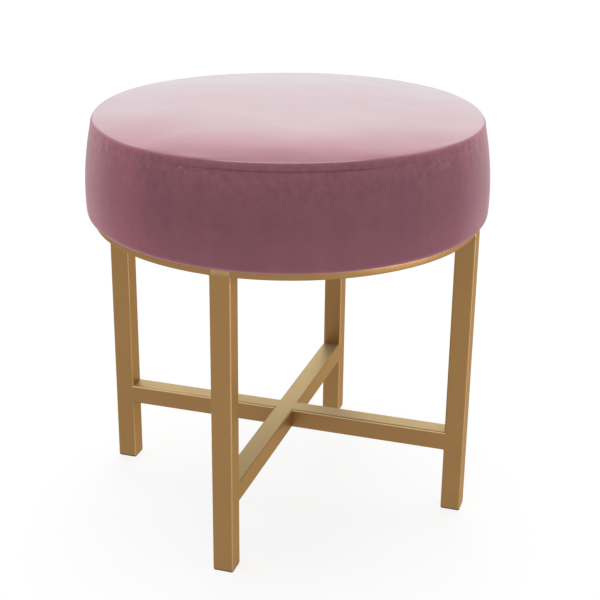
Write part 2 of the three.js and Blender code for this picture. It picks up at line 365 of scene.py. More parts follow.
def set_stops(ramp, stops):
    while len(ramp.elements) < len(stops):
        ramp.elements.new(1)
    for element, (place, colour) in zip(ramp.elements, stops):
        element.position = place
        element.color = colour


FINISHES = {}


def new_material(name):
    """The empty node tree of a new finish, and the place on the object."""
    material = bpy.data.materials.new(name)
    material.use_nodes = True
    material.node_tree.nodes.clear()
    FINISHES[name] = material
    tree = Shade(material.node_tree)
    return tree, tree.add("ShaderNodeTexCoord", out="Object")


def close_material(tree, colour, **sockets):
    """Ends a material in one Principled shader with this colour and these sockets."""
    named = {name.replace("_", " "): value for name, value in sockets.items()}
    shader = tree.add("ShaderNodeBsdfPrincipled", None, {"Base Color": colour, **named})
    tree.add("ShaderNodeOutputMaterial", None, {"Surface": shader})


def gold_paint():
    """Satin gold paint: fine flake, faint clouding from the spray and a little orange peel. Upward
    faces are painted paler, as if lit from above, and front top edges and the legs' front-right and
    back-left corners have painted highlight lines."""
    tree, place = new_material("gold_paint")
    clouds = place.noise(14, 3)
    flake = place.noise(2600, 1)
    tone = clouds * 0.6 + flake * 0.4
    bare = tone.mix((0.31, 0.170, 0.062, 1), (0.39, 0.224, 0.088, 1))
    right, back, up = (tree.normal().axis(name) for name in "XYZ")
    # Painted light: upward faces are painted paler, as if lit from above; the same mask makes them a
    # little rougher and less metallic.
    painted_top_light = up.mask(0.75, 0.98)
    colour = painted_top_light.mix(bare, tone.mix((0.385, 0.285, 0.142, 1), (0.45, 0.338, 0.176, 1)))
    # Painted highlight along the front top edges of the tubes.
    painted_edge_highlight = (up * back * -1).mask(0.14, 0.34)
    colour = painted_edge_highlight.mix(colour, (0.54, 0.375, 0.195, 1))
    # Painted highlight along the legs' front-right and back-left corners, stopping below the ring.
    above_legs = place.axis("Z").mask(*CORNER_HIGHLIGHT_END)
    corner = (right * back * -1).mask(0.38, 0.47) * (1 - above_legs)
    colour = corner.mix(colour, (0.47, 0.285, 0.125, 1))
    peel = place.noise(420, 2) + place.noise(60, 2) * 0.6
    close_material(
        tree,
        colour,
        Metallic=0.75 - painted_top_light * 0.25,
        Roughness=clouds * 0.1 + 0.38 + painted_top_light * 0.06,
        Specular_Tint=(0.82, 0.63, 0.38, 1),
        Normal=peel.bump(0.02 * MM, 0.6),
    )


def velvet_side(place, painted_sheen, streaks, open_front):
    """The side's colour, streaked down the drum, with a painted sheen that is pale where it is seen
    from the side, and painted light that is brighter towards the foot and the seam. Near the seam it
    is mottled from handling, with painted highlights of puckers catching the light, and the seam's
    open stretch has a painted shade line. Rise is 0 at the hem and 1 at the crown's top."""
    # Painted sheen: dark where the side faces the eye, pale where it is seen from the side.
    colour = painted_sheen.ramp(
        (0.0, (0.305, 0.117, 0.148, 1)),
        (0.27, (0.300, 0.112, 0.145, 1)),
        (0.41, (0.340, 0.113, 0.152, 1)),
        (0.54, (0.375, 0.120, 0.165, 1)),
        (0.66, (0.430, 0.157, 0.208, 1)),
        (0.78, (0.490, 0.188, 0.235, 1)),
        (1.0, (0.530, 0.270, 0.315, 1)),
    )
    rise = (place.axis("Z") - BAND_BOTTOM) * (1 / (CROWN_TOP - BAND_BOTTOM))
    # Painted light: the side is brighter towards the foot, for light thrown up from the floor, and
    # towards the seam.
    painted_light_by_height = rise.ramp(
        (0.0, grey(0.78)),
        (0.14, grey(0.75)),
        (0.40, grey(0.67)),
        (0.72, grey(0.68)),
        (0.85, grey(0.75)),
        (0.93, grey(0.78)),
    )
    handled = rise.ramp((0.55, grey(0.3)), (0.80, WHITE), (0.93, WHITE), (0.96, grey(0.5)))
    mottling = (place.noise(120, 3, 0.6) - 0.5) * handled * 0.75
    # Painted shade: a dark line in the seam's open stretch.
    seam_level = rise + (place.noise(16, 1) - 0.5) * 0.02
    seam_shade_line = seam_level.mask(0.857, 0.866, 0.873, 0.882)
    shade = seam_shade_line * open_front * 0.28
    colour = colour.times(painted_light_by_height * 1.5 + (streaks - 0.5) * 0.35 + mottling - shade)
    # Painted highlights: light ticks below the seam where small puckers catch the light.
    under_seam = rise.mask(0.77, 0.83, 0.848, 0.858)
    patches = place.noise(9, 1).mask(0.37, 0.47)
    ticks = place.stretch((1, 1, 0.25)).noise(420, 2, 0.7).mask(0.62, 0.74)
    painted_tick_highlights = under_seam * patches * ticks * (1 - open_front)
    return painted_tick_highlights.mix(colour, (0.60, 0.37, 0.42, 1))


def velvet_crown(place, painted_sheen, clouds, pile):
    """The crown's colour, with a painted sheen that is pale where it is seen flat across, and soft
    strokes where it was brushed.
    """
    # Painted sheen: pale where the crown is seen flat across, darker towards its near edge.
    colour = painted_sheen.ramp(
        (0.50, (0.410, 0.175, 0.215, 1)),
        (0.65, (0.440, 0.190, 0.235, 1)),
        (0.688, (0.640, 0.350, 0.400, 1)),
        (0.743, (0.740, 0.560, 0.600, 1)),
        (0.86, (0.800, 0.750, 0.785, 1)),
    )
    strokes = place.stretch((0.5, 1, 1)).noise(34, 3, 0.6)
    return colour.times(1 + (clouds - 0.5) * 0.1 + (strokes - 0.5) * 0.15 + (pile - 0.5) * 0.12)


def velvet():
    """Short-pile velvet with a painted sheen: dark where the pile points at the eye, pale where it is
    seen from the side. The crease has a painted highlight line above the seam's open stretch."""
    tree, place = new_material("velvet")
    facing = tree.add("ShaderNodeLayerWeight", None, {"Blend": 0.5}, out="Facing")
    streaks = place.stretch((1, 1, 0.22)).noise(26, 3, 0.55)
    clouds = place.noise(11, 2)
    pile = place.noise(1900, 2, 0.6)
    # How far each point is seen from the side, which drives the painted sheen.
    crown_painted_sheen = facing + (clouds - 0.5) * 0.03 + (pile - 0.5) * 0.05
    frontness = place.axis("X") * math.cos(OPEN_SEAM_AT) + place.axis("Y") * math.sin(OPEN_SEAM_AT)
    open_front = frontness.mask(*OPEN_FRONT_FROM)
    side = velvet_side(place, crown_painted_sheen + (streaks - 0.5) * 0.08, streaks, open_front)
    crown = velvet_crown(place, crown_painted_sheen, clouds, pile)
    up = tree.normal().axis("Z")
    colour = up.mask(0.7, 0.97).mix(side, crown)
    # Painted highlight: a light line along the crease above the seam's open stretch.
    painted_crease_highlight = up.mask(0.80, 0.90, 0.97, 0.985)
    colour = (painted_crease_highlight * open_front * 0.7).mix(colour, (0.72, 0.44, 0.49, 1))
    close_material(
        tree,
        colour,
        Roughness=0.92,
        Specular_IOR_Level=0.15,
        Sheen_Weight=0.55,
        Sheen_Roughness=0.45,
        Sheen_Tint=(1.0, 0.84, 0.88, 1),
        Normal=(pile + place.noise(700, 2)).bump(0.12 * MM, 0.5),
    )


def moulded_plastic():
    """Black moulded plastic with a fine grain."""
    tree, place = new_material("glide_plastic")
    grain = place.noise(1500, 2)
    colour = grain.mix((0.014, 0.012, 0.011, 1), (0.03, 0.026, 0.024, 1))
    close_material(tree, colour, Roughness=grain * 0.15 + 0.5, Normal=grain.bump(0.03 * MM))


def dust_cloth():
    """Black non-woven cloth: tangled fibres, bonded in small dots."""
    tree, place = new_material("dust_cloth")
    across = place.stretch((1, 0.3, 1)).noise(1300, 3, 0.7)
    along = place.stretch((0.3, 1, 1)).noise(1300, 3, 0.7)
    fibres = across + along
    sockets = {"Vector": place, "Scale": 420, "Randomness": 0.15}
    dots = tree.add("ShaderNodeTexVoronoi", {"feature": "F1"}, sockets)
    colour = (fibres * 0.5).mix((0.01, 0.0095, 0.011, 1), (0.034, 0.032, 0.036, 1))
    height = fibres * 0.5 + dots * 0.8
    close_material(tree, colour, Roughness=0.95, Normal=height.bump(0.15 * MM, 0.6))


def foam():
    """Cream polyurethane foam with open cells."""
    tree, place = new_material("foam")
    cells = tree.add("ShaderNodeTexVoronoi", None, {"Vector": place, "Scale": 900})
    colour = (cells + place.noise(20) * 0.4).mix((0.62, 0.54, 0.38, 1), (0.82, 0.75, 0.58, 1))
    close_material(tree, colour, Roughness=1.0, Normal=cells.bump(0.4 * MM))


def wadding():
    """White polyester wadding, fibrous and lumpy."""
    tree, place = new_material("wadding")
    fibres = place.stretch((1, 0.2, 1)).noise(900, 4, 0.7)
    colour = fibres.mix((0.74, 0.73, 0.7, 1), (0.9, 0.89, 0.87, 1))
    close_material(tree, colour, Roughness=1.0, Normal=fibres.bump(0.5 * MM))


def plywood():
    """Bare plywood: grain along the face veneers, and the plies showing at the edge."""
    tree, place = new_material("plywood")
    grain = place.stretch((0.06, 1, 1)).noise(320, 4, 0.6)
    plies = tree.add("ShaderNodeTexWave", {"bands_direction": "Z"}, {"Vector": place, "Scale": 105})
    tone = grain * 0.7 + plies * 0.3
    colour = tone.mix((0.38, 0.24, 0.115, 1), (0.64, 0.46, 0.26, 1))
    close_material(tree, colour, Roughness=0.8, Normal=grain.bump(0.1 * MM))


def zinc_steel():
    """Bright zinc plate with a faint blue cast and fine scratches."""
    tree, place = new_material("zinc_steel")
    scratches = place.stretch((1, 0.08, 1)).noise(2200, 3)
    colour = place.noise(60, 2).mix((0.44, 0.46, 0.49, 1), (0.56, 0.57, 0.58, 1))
    close_material(
        tree,
        colour,
        Metallic=1.0,
        Roughness=scratches * 0.2 + 0.26,
        Normal=scratches.bump(0.02 * MM),
    )


def grid_faces(rows, around, closed=False, first=0):
    """Quads between rows of points that each go once round."""
    faces = []
    for row in range(rows if closed else rows - 1):
        here = first + row * around
        there = first + (row + 1) % rows * around
        for column in range(around):
            after = (column + 1) % around
            faces.append((here + column, here + after, there + after, there + column))
    return faces


def lofted(rows, closed=False):
    """A skin over rows of points. Closed joins the last row to the first, else both ends get caps."""
    rows = np.asarray(rows, float)
    count, around = rows.shape[:2]
    points = rows.reshape(-1, 3).tolist()
    faces = grid_faces(count, around, closed)
    if not closed:
        for row in (0, count - 1):
            middle = len(points)
            points.append(rows[row].mean(axis=0).tolist())
            faces += [(middle, row * around + i, row * around + (i + 1) % around) for i in range(around)]
    return points, faces


def turned(profile, around):
    """Rows of points for a profile of (radius, level), turned about the upright axis."""
    radii, levels = np.array(profile, float).T
    angles = np.arange(around) * 2 * math.pi / around
    heights = np.repeat(levels[:, None], around, axis=1)
    return np.stack([np.outer(radii, np.cos(angles)), np.outer(radii, np.sin(angles)), heights], axis=2)


def joined(*parts):
    """Several (points, faces) as one."""
    points, faces = [], []
    for part_points, part_faces in parts:
        first = len(points)
        points += list(part_points)
        faces += [tuple(first + i for i in face) for face in part_faces]
    return points, faces


def make_mesh(name, points, faces):
    mesh = bpy.data.meshes.new(name)
    mesh.from_pydata([tuple(point) for point in points], [], faces)
    work = bmesh.new()
    work.from_mesh(mesh)
    bmesh.ops.recalc_face_normals(work, faces=work.faces)
    work.to_mesh(mesh)
    work.free()
    return mesh


def add_object(name, data):
    made = bpy.data.objects.new(name, data)
    bpy.context.scene.collection.objects.link(made)
    return made


def add_skin(name, mesh_name, skin):
    """An object made of (points, faces)."""
    return add_object(name, make_mesh(mesh_name, *skin))


def finish_piece(piece, slot, *nodes):
    """Shading, finish and body of a piece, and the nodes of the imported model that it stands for."""
    piece.data.shade_smooth()
    piece.data.set_sharp_from_angle(angle=SHARP_ANGLE)
    piece.data.materials.clear()
    piece.data.materials.append(FINISHES[slot])
    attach(piece, "root")
    if nodes:
        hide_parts(*nodes)


def evaluated(piece):
    """The piece's mesh with its modifiers applied."""
    graph = bpy.context.evaluated_depsgraph_get()
    return bpy.data.meshes.new_from_object(piece.evaluated_get(graph))


def modify(piece, kind, **settings):
    """Gives the piece a modifier with these settings, and applies it."""
    modifier = piece.modifiers.new(kind, kind)
    for name, value in settings.items():
        setattr(modifier, name, value)
    mesh = evaluated(piece)
    piece.modifiers.clear()
    piece.data = mesh


def cut(piece, *tools):
    """Cuts meshes out of a piece."""
    for tool in tools:
        cutter = add_object("cutter", tool)
        modify(piece, "BOOLEAN", operation="DIFFERENCE", object=cutter)
        bpy.data.objects.remove(cutter)


def vectors_of(items, name):
    """The vector of that name of each item of a mesh."""
    values = np.zeros(len(items) * 3)
    items.foreach_get(name, values)
    return values.reshape(-1, 3)


def place_of(mesh):
    return vectors_of(mesh.vertices, "co")


def polar(places):
    """The angles and radii of places about the upright axis."""
    return np.arctan2(places[:, 1], places[:, 0]), np.hypot(places[:, 0], places[:, 1])


def set_place(mesh, places):
    mesh.vertices.foreach_set("co", places.ravel())
    mesh.update()


def rod(centre, axis, radius, length):
    """A plain round tool for cutting holes, centred on a point."""
    side = axis.orthogonal().normalized()
    other = axis.cross(side)
    angles = [2 * math.pi * i / HOLE_SIDES for i in range(HOLE_SIDES)]
    edge = [(side * math.cos(angle) + other * math.sin(angle)) * radius for angle in angles]
    rows = [[centre + axis * end + out for out in edge] for end in (-length / 2, length / 2)]
    return make_mesh("hole", *lofted(rows))


def rounded_square(width, corner):
    """Points round a square with rounded corners. A guard point on each side of a corner keeps
    the flat faces flat under smooth shading."""
    half = width / 2
    centre = half - corner
    quarter = [(half, centre - FACE_GUARD)]
    for step in range(CORNER_STEPS + 1):
        angle = step / CORNER_STEPS * math.pi / 2
        quarter.append((centre + corner * math.cos(angle), centre + corner * math.sin(angle)))
    quarter.append((centre - FACE_GUARD, half))
    outline = []
    for cosine, sine in ((1, 0), (0, 1), (-1, 0), (0, -1)):
        outline += [(u * cosine - v * sine, u * sine + v * cosine) for u, v in quarter]
    return outline


def tube(start, end):
    """An open square tube with rounded corners, from one end's centre to the other's."""
    length = (end - start).length
    axis = (end - start).normalized()
    side = Vector((1, 0, 0)) if abs(axis.x) < 0.5 else Vector((0, 1, 0))
    other = axis.cross(side)

    def row(inset, along):
        outline = rounded_square(TUBE_WIDTH - 2 * inset, TUBE_CORNER - inset)
        return [start + side * u + other * v + axis * along for u, v in outline]

    middle = TUBE_EDGE * TUBE_EDGE_MIDDLE_SHARE
    near = [(TUBE_EDGE, 0), (middle, middle), (0, TUBE_EDGE), (0, 2 * TUBE_EDGE)]
    far = [(inset, length - along) for inset, along in reversed(near)]
    stations = [*near, *far, (TUBE_WALL, length), (TUBE_WALL, 0)]
    return lofted([row(inset, along) for inset, along in stations], closed=True)


def weld(start, along, length, first, second, size):
    """A hollow fillet in the corner between two faces. first and second lead away from the corner
    along the faces, and size is the bead's width on both."""
    stations = int(length / WELD_STEP)
    rows = []
    for station in range(stations + 1):
        share = station / stations
        taper = math.sqrt(max(1 - abs(2 * share - 1) ** WELD_TAPER_POWER, WELD_LEAST_TAPER))
        ripple = 1 + WELD_RIPPLE_SHARE * math.sin(2 * math.pi * share * length / WELD_PITCH)
        width = size * taper * ripple
        origin = start + along * (share * length)
        row = [origin - (first + second) * WELD_SINK]
        row.append(origin + first * width - second * WELD_SINK)
        for step in range(WELD_SECTION_STEPS + 1):
            angle = step / WELD_SECTION_STEPS * math.pi / 2
            up = width * (1 - math.sin(angle))
            out = width * (1 - math.cos(angle))
            row.append(origin + first * up + second * out)
        row.append(origin + second * width - first * WELD_SINK)
        rows.append(row)
    return lofted(rows)


def ledge_weld(out, across):
    """The bead that fills the step between a leg's outer face and the ring, ground flush. It follows
    the leg's rounded corners on one side and the ring on the other."""
    outer_face = LEG_CENTRE + TUBE_WIDTH / 2
    reach = TUBE_WIDTH / 2 - LEDGE_WELD_END
    rows = []
    for sideways in np.linspace(-reach, reach, LEDGE_WELD_STEPS):
        past_flat = max(abs(sideways) - (TUBE_WIDTH / 2 - TUBE_CORNER), 0)
        leg = outer_face - TUBE_CORNER + math.sqrt(TUBE_CORNER ** 2 - past_flat ** 2) + WELD_SKIN
        ring = math.sqrt(RING_RADIUS ** 2 - sideways ** 2)
        section = [
            (ring - WELD_SINK, RING_UNDERSIDE - WELD_SINK),
            (leg, RING_UNDERSIDE - WELD_SINK),
            (leg, RING_UNDERSIDE),
            (ring + WELD_SKIN, RING_UNDERSIDE + RING_LEDGE_WELD),
            (ring - WELD_SINK, RING_UNDERSIDE + RING_LEDGE_WELD),
        ]
        rows.append([out * outward + across * sideways + UP * level for outward, level in section])
    return lofted(rows)


def make_legs():
    for side, out in SIDES.items():
        foot = out * LEG_CENTRE + UP * LEG_BOTTOM
        head = out * LEG_CENTRE + UP * RING_UNDERSIDE
        leg = add_skin(f"leg_tube_{side}", "leg", tube(foot, head))
        finish_piece(leg, "gold_paint", f"leg_{side}")


def make_stretchers():
    """Each stretcher runs on into the rounded corners that it is welded to, which the weld fills
    and which is ground flush there."""
    level = UP * STRETCHER_MIDDLE
    reach = LEG_INNER_FACE + TUBE_CORNER
    front, right = SIDES["front"], SIDES["right"]

    skin = tube(level + front * reach, level - front * reach)
    long = add_skin("stretcher_tube_long", "stretcher", skin)
    vent = level + front * (LEG_INNER_FACE - VENT_FROM_LEG) + right * (TUBE_WIDTH / 2)
    vent.z = STRETCHER_TOP - VENT_BELOW_TOP
    cut(long, rod(vent, right, VENT_RADIUS, 4 * TUBE_WALL))
    finish_piece(long, "gold_paint", "stretcher_long")

    inner = TUBE_WIDTH / 2 - TUBE_CORNER
    for side in ("left", "right"):
        out = SIDES[side]
        skin = tube(level + out * inner, level + out * reach)
        short = add_skin(f"stretcher_tube_{side}", "stretcher", skin)
        finish_piece(short, "gold_paint", f"stretcher_{side}")


def make_welds():
    flat = TUBE_WIDTH - 2 * TUBE_CORNER
    for side, out in SIDES.items():
        across = UP.cross(out)
        inner = out * LEG_INNER_FACE - across * (flat / 2)
        beads = [
            weld(inner + UP * STRETCHER_UNDERSIDE, across, flat, -UP, -out, STRETCHER_WELD),
            weld(inner + UP * RING_UNDERSIDE, across, flat, -UP, -out, RING_INNER_WELD),
            ledge_weld(out, across),
        ]
        for direction, size in zip((-1, 1), RING_SIDE_WELDS[side]):
            face = across * (direction * TUBE_WIDTH / 2)
            start = out * (LEG_CENTRE - flat / 2) + face + UP * RING_UNDERSIDE
            beads.append(weld(start, out, flat, -UP, across * direction, size))
        finish_piece(add_skin(f"welds_{side}", "welds", joined(*beads)), "gold_paint")


def fixing_places():
    """The screws' places and numbers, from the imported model."""
    for number in range(1, SCREW_COUNT + 1):
        low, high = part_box(f"seat_screw_{number}")
        yield number, Vector(((low.x + high.x) / 2, (low.y + high.y) / 2, 0))


def make_ring():
    """The flat steel ring, its edges rounded over, drilled for the screws."""
    outer, inner = RING_RADIUS - RING_EDGE, RING_BORE + RING_EDGE
    lower, upper = RING_UNDERSIDE + RING_EDGE, RING_TOP - RING_EDGE
    corners = ((outer, lower, 3), (outer, upper, 0), (inner, upper, 1), (inner, lower, 2))
    profile = []
    for radius, level, turn in corners:
        for step in range(RING_STEPS + 1):
            angle = (turn + step / RING_STEPS) * math.pi / 2
            profile.append((radius + RING_EDGE * math.cos(angle), level + RING_EDGE * math.sin(angle)))
    ring = add_skin("ring_flat", "ring", lofted(turned(profile, RING_SIDES), closed=True))
    middle = UP * (RING_UNDERSIDE + RING_TOP) / 2
    washer_low, washer_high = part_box("screw_washer_1")
    hole = (washer_high.x - washer_low.x) * RING_HOLE_SHARE
    depth = 4 * (RING_TOP - RING_UNDERSIDE)
    cut(ring, *(rod(place + middle, UP, hole, depth) for _, place in fixing_places()))
    finish_piece(ring, "gold_paint", "seat_ring")


def make_screw(number, place):
    """A button-head screw with a hexagon socket."""
    low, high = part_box(f"seat_screw_{number}")
    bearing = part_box(f"screw_washer_{number}")[0].z
    head = (high.x - low.x) / 2
    shank = head * SCREW_SHANK_SHARE
    flat = head * SCREW_DOME_FLAT_SHARE
    dome_height = bearing - low.z - SCREW_HEAD_EDGE
    dome = []
    for step in range(SCREW_DOME_STEPS + 1):
        angle = step / SCREW_DOME_STEPS * math.pi / 2
        radius = flat + (head - flat) * math.sin(angle)
        dome.append((radius, low.z + dome_height * (1 - math.cos(angle))))
    profile = [
        *dome,
        (head, bearing),
        (shank, bearing),
        (shank, high.z - SCREW_HEAD_EDGE),
        (shank - SCREW_HEAD_EDGE, high.z),
    ]
    angles = np.arange(BOLT_SIDES) * 2 * math.pi / BOLT_SIDES
    sector = 2 * math.pi / SOCKET_SIDES
    hexagon = (SOCKET_WIDTH / 2) / np.cos((angles % sector) - sector / 2)
    socket = []
    for share, depth in SOCKET_ROWS:
        radii = hexagon * share
        levels = np.full(BOLT_SIDES, low.z + depth)
        socket.append(np.stack([radii * np.cos(angles), radii * np.sin(angles), levels], axis=1))
    rows = np.concatenate([np.array(socket), turned(profile, BOLT_SIDES)]) + np.array(place)
    screw = add_skin(f"screw_{number}", "screw", lofted(rows))
    finish_piece(screw, "zinc_steel", f"seat_screw_{number}")


def make_washer(number, place):
    """A plain washer, its outer edges eased."""
    low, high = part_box(f"screw_washer_{number}")
    outer = (high.x - low.x) / 2
    bore = outer * WASHER_BORE_SHARE
    edge = (high.z - low.z) * WASHER_EDGE_SHARE
    profile = [
        (bore, low.z),
        (outer - edge, low.z),
        (outer, low.z + edge),
        (outer, high.z - edge),
        (outer - edge, high.z),
        (bore, high.z),
    ]
    rows = turned(profile, BOLT_SIDES) + np.array(place)
    washer = add_skin(f"washer_{number}", "washer", lofted(rows, closed=True))
    finish_piece(washer, "zinc_steel", f"screw_washer_{number}")


def make_fixings():
    for number, place in fixing_places():
        make_screw(number, place)
        make_washer(number, place)


def side_radius(level):
    """The drum's outer radius between the foot's quarter round and the seam."""
    if level < WIDEST_LEVEL:
        return SEAT_RADIUS - LOWER_DRAW_IN * ((WIDEST_LEVEL - level) / (WIDEST_LEVEL - FOOT_TOP)) ** 2
    return SEAT_RADIUS - SEAM_DRAW_IN * ((level - WIDEST_LEVEL) / (BAND_TOP - WIDEST_LEVEL)) ** 2


def spaced(start, end, steps):
    """Values from start towards end, in equal steps, the end left out."""
    return [start + (end - start) * step / steps for step in range(steps)]


def quarter_turn(centre, radii, start, steps):
    """Points of a quarter ellipse in a (radius, level) profile, clockwise from a start angle."""
    return [
        (centre[0] + radii[0] * math.cos(angle), centre[1] + radii[1] * math.sin(angle))
        for angle in spaced(start, start - math.pi / 2, steps)
    ]


def sewn(profile):
    """Rows for a cover piece's profile, turned about the upright axis. The fold at its seam is tight,
    but lies open in a stretch at the front and one at the back."""
    wide = turned(profile(SEAM_FOLD), COVER_SIDES)
    tight = turned(profile(TIGHT_SEAM_FOLD), COVER_SIDES)
    angles = np.arange(COVER_SIDES) * 2 * math.pi / COVER_SIDES
    wave = OPEN_SEAM_SLOPE * np.cos(2 * (angles - OPEN_SEAM_AT))
    openness = np.clip(wave - OPEN_SEAM_CUT, 0, 1)[:, None]
    return tight + (wide - tight) * openness


def band_profile(fold_size):
    """The side band's outer face: in the seam, over the fold, down the side, round the foot and in
    under the seat."""
    inside = SEAM_RADIUS - SEAM_ALLOWANCE
    seam = BAND_TOP + SEAM_CLOSING
    fold_level = seam - fold_size
    fold_start = SEAM_RADIUS - fold_size
    fold = quarter_turn((fold_start, fold_level), (fold_size, fold_size), math.pi / 2, FOLD_STEPS)
    foot_centre = (LOWER_RADIUS - LOWER_EDGE_RADIUS, FOOT_TOP)
    foot_radii = (LOWER_EDGE_RADIUS, LOWER_EDGE_RADIUS + FOOT_OVERHANG)
    foot = quarter_turn(foot_centre, foot_radii, 0, FOOT_STEPS)
    hem_start = foot_centre[0] - FOOT_ROLL
    return [
        *((radius, seam) for radius in spaced(inside, fold_start, ALLOWANCE_STEPS)),
        *fold,
        *((side_radius(level), level) for level in spaced(fold_level, FOOT_TOP, SIDE_STEPS)),
        *foot,
        (foot_centre[0], BAND_BOTTOM - FOOT_OVERHANG),
        (foot_centre[0] - FOOT_ROLL / 2, BAND_BOTTOM - FOOT_OVERHANG * FOOT_ROLL_MIDDLE_SHARE),
        *((radius, BAND_BOTTOM) for radius in spaced(hem_start, HEM_RADIUS, HEM_STEPS)),
        (HEM_RADIUS, BAND_BOTTOM),
    ]


def panel_rim_profile(fold_size):
    """The top panel's outer face from the crease over the shoulder to the fold, and into the seam."""
    seam = PANEL_BOTTOM - SEAM_CLOSING
    fold_level = seam + fold_size
    height = CREASE_LEVEL - fold_level
    shoulder = []
    for turn in spaced(0, 1, RIM_STEPS):
        sine = math.sin(turn * math.pi / 2) ** SHOULDER_POWER
        cosine = math.cos(turn * math.pi / 2) ** SHOULDER_POWER
        shoulder.append((CREASE_RADIUS + SHOULDER_WIDTH * sine, fold_level + height * cosine))
    fold_start = SEAM_RADIUS - fold_size
    fold = quarter_turn((fold_start, fold_level), (fold_size, fold_size), 0, FOLD_STEPS)
    inside = SEAM_RADIUS - SEAM_ALLOWANCE
    return [
        *shoulder,
        *fold,
        *((radius, seam) for radius in spaced(fold_start, inside, ALLOWANCE_STEPS)),
        (inside, seam),
    ]


def disc(radius, rings, level_at):
    """A disc of near-even triangles: ring number n has 6n points. The last ring has 6 rings points."""
    points = [(0, 0, level_at(0))]
    faces = []
    first = {0: 0}
    for ring in range(1, rings + 1):
        first[ring] = len(points)
        count = 6 * ring
        distance = radius * ring / rings
        for i in range(count):
            angle = 2 * math.pi * i / count
            points.append((distance * math.cos(angle), distance * math.sin(angle), level_at(distance)))
        inner_count = max(6 * (ring - 1), 1)
        for sector in range(6):
            for i in range(ring):
                outer = sector * ring + i
                inner = sector * (ring - 1) + i
                beside = first[ring] + (outer + 1) % count
                within = first[ring - 1] + inner % inner_count
                faces.append((first[ring] + outer, beside, within))
                if i < ring - 1:
                    faces.append((beside, first[ring - 1] + (inner + 1) % inner_count, within))
    return points, faces


def lump(places, size, height, seed):
    """Smooth lumps over places, for moving points along their normals."""
    shift = Vector((seed, 2 * seed, 3 * seed))
    return np.array([height * noise.noise(Vector(place) / size + shift) for place in places])


def evened(values, mesh, pinned):
    """Values on a mesh's points, averaged with their neighbours until no pleat is left in them."""
    edges = np.zeros(len(mesh.edges) * 2, int)
    mesh.edges.foreach_get("vertices", edges)
    neighbours = np.bincount(edges, minlength=len(values))[:, None]
    first, second = edges.reshape(-1, 2).T
    for _ in range(CLOTH_EVENING):
        total = np.zeros_like(values)
        np.add.at(total, first, values[second])
        np.add.at(total, second, values[first])
        values = (values + total / neighbours) / 2
        values[pinned] = 0
    return values


def inflate(piece, pinned):
    """Swells a cover piece against its seams by a cloth simulation, up to the cap."""
    start = place_of(piece.data)
    group = piece.vertex_groups.new(name="sewn")
    group.add([int(i) for i in np.nonzero(pinned)[0]], 1, "REPLACE")
    cloth = piece.modifiers.new("cloth", "CLOTH")
    for name, value in CLOTH_SETTINGS.items():
        setattr(cloth.settings, name, value)
    cloth.settings.vertex_group_mass = group.name
    cloth.settings.effector_weights.gravity = 0
    cloth.point_cache.frame_end = CLOTH_FRAMES
    scene = bpy.context.scene
    for step in range(1, CLOTH_FRAMES + 1):
        scene.frame_set(step)
    moved = place_of(evaluated(piece)) - start
    piece.modifiers.remove(cloth)
    piece.vertex_groups.clear()
    scene.frame_set(1)
    distance = np.linalg.norm(moved, axis=1, keepdims=True)
    capped = moved * CLOTH_CAP / (CLOTH_CAP + distance)
    set_place(piece.data, start + evened(capped, piece.data, pinned))


def pucker(piece, seam_level, share):
    """Small dimples where the stitches draw the cloth in, deeper in some stretches of the seam."""
    places = place_of(piece.data)
    angles, radius = polar(places)
    depth_in_seam = np.clip((SEAM_RADIUS - SEAM_FOLD - radius) / SEAM_FOLD, 0, 1)
    depth_in_seam[np.abs(places[:, 2] - seam_level) > 2 * SEAM_FOLD] = 0
    away = np.abs(places[:, 2] - seam_level) + np.clip(CREASE_RADIUS - radius, 0, None)
    random = np.random.default_rng(PUCKER_SEED)
    count = int(2 * math.pi * SEAM_RADIUS / PUCKER_SPACING)
    jitter = random.uniform(-PUCKER_JITTER, PUCKER_JITTER, count)
    spots = (np.arange(count) + jitter) * 2 * math.pi / count
    depths = random.uniform(*PUCKER_DEPTHS, count)
    widths = random.uniform(*PUCKER_WIDTHS, count)
    reaches = random.uniform(*PUCKER_REACHES, count)
    push = np.zeros(len(places))
    for spot, depth, width, reach in zip(spots, depths, widths, reaches):
        stretch = noise.noise(Vector((math.cos(spot), math.sin(spot), 0)) * PUCKER_STRETCHES)
        strength = PUCKER_LEAST_STRENGTH + (1 - PUCKER_LEAST_STRENGTH) * abs(stretch)
        around = (angles - spot + math.pi) % (2 * math.pi) - math.pi
        shape = np.exp(-((around * SEAM_RADIUS / width) ** 2)) * np.exp(-away / (reach * share))
        push -= depth * strength * shape
    places[:, :2] *= (1 + push * (1 - depth_in_seam) / np.maximum(radius, MM))[:, None]
    set_place(piece.data, places)


def wander(piece):
    """The seam's slow wander, which the side takes up below it and the crown inside it."""
    places = place_of(piece.data)
    angles, radius = polar(places)
    angles -= WANDER_FROM
    waves = (size * np.cos(number * angles - crest) for number, size, crest in WANDER_WAVES)
    rise = WANDER_BASE + sum(waves)
    share = np.clip((places[:, 2] - FOOT_TOP) / (BAND_TOP - FOOT_TOP), 0, 1)
    places[:, 2] += rise * share * (radius / SEAM_RADIUS) ** WANDER_POWER
    set_place(piece.data, places)


def wave_crease(piece):
    """The crease wanders a little up and down round the seat."""
    places = place_of(piece.data)
    _, radius = polar(places)
    near = np.exp(-(((radius - CREASE_RADIUS) / CREASE_WAVE_REACH) ** 2))
    near *= places[:, 2] > PANEL_BOTTOM + 2 * SEAM_FOLD
    outward = places / np.maximum(radius, MM)[:, None] * SEAM_RADIUS
    outward[:, 2] = 0
    places[:, 2] += near * lump(outward, CREASE_WAVE_LENGTH, CREASE_WAVE, CREASE_WAVE_SEED)
    set_place(piece.data, places)


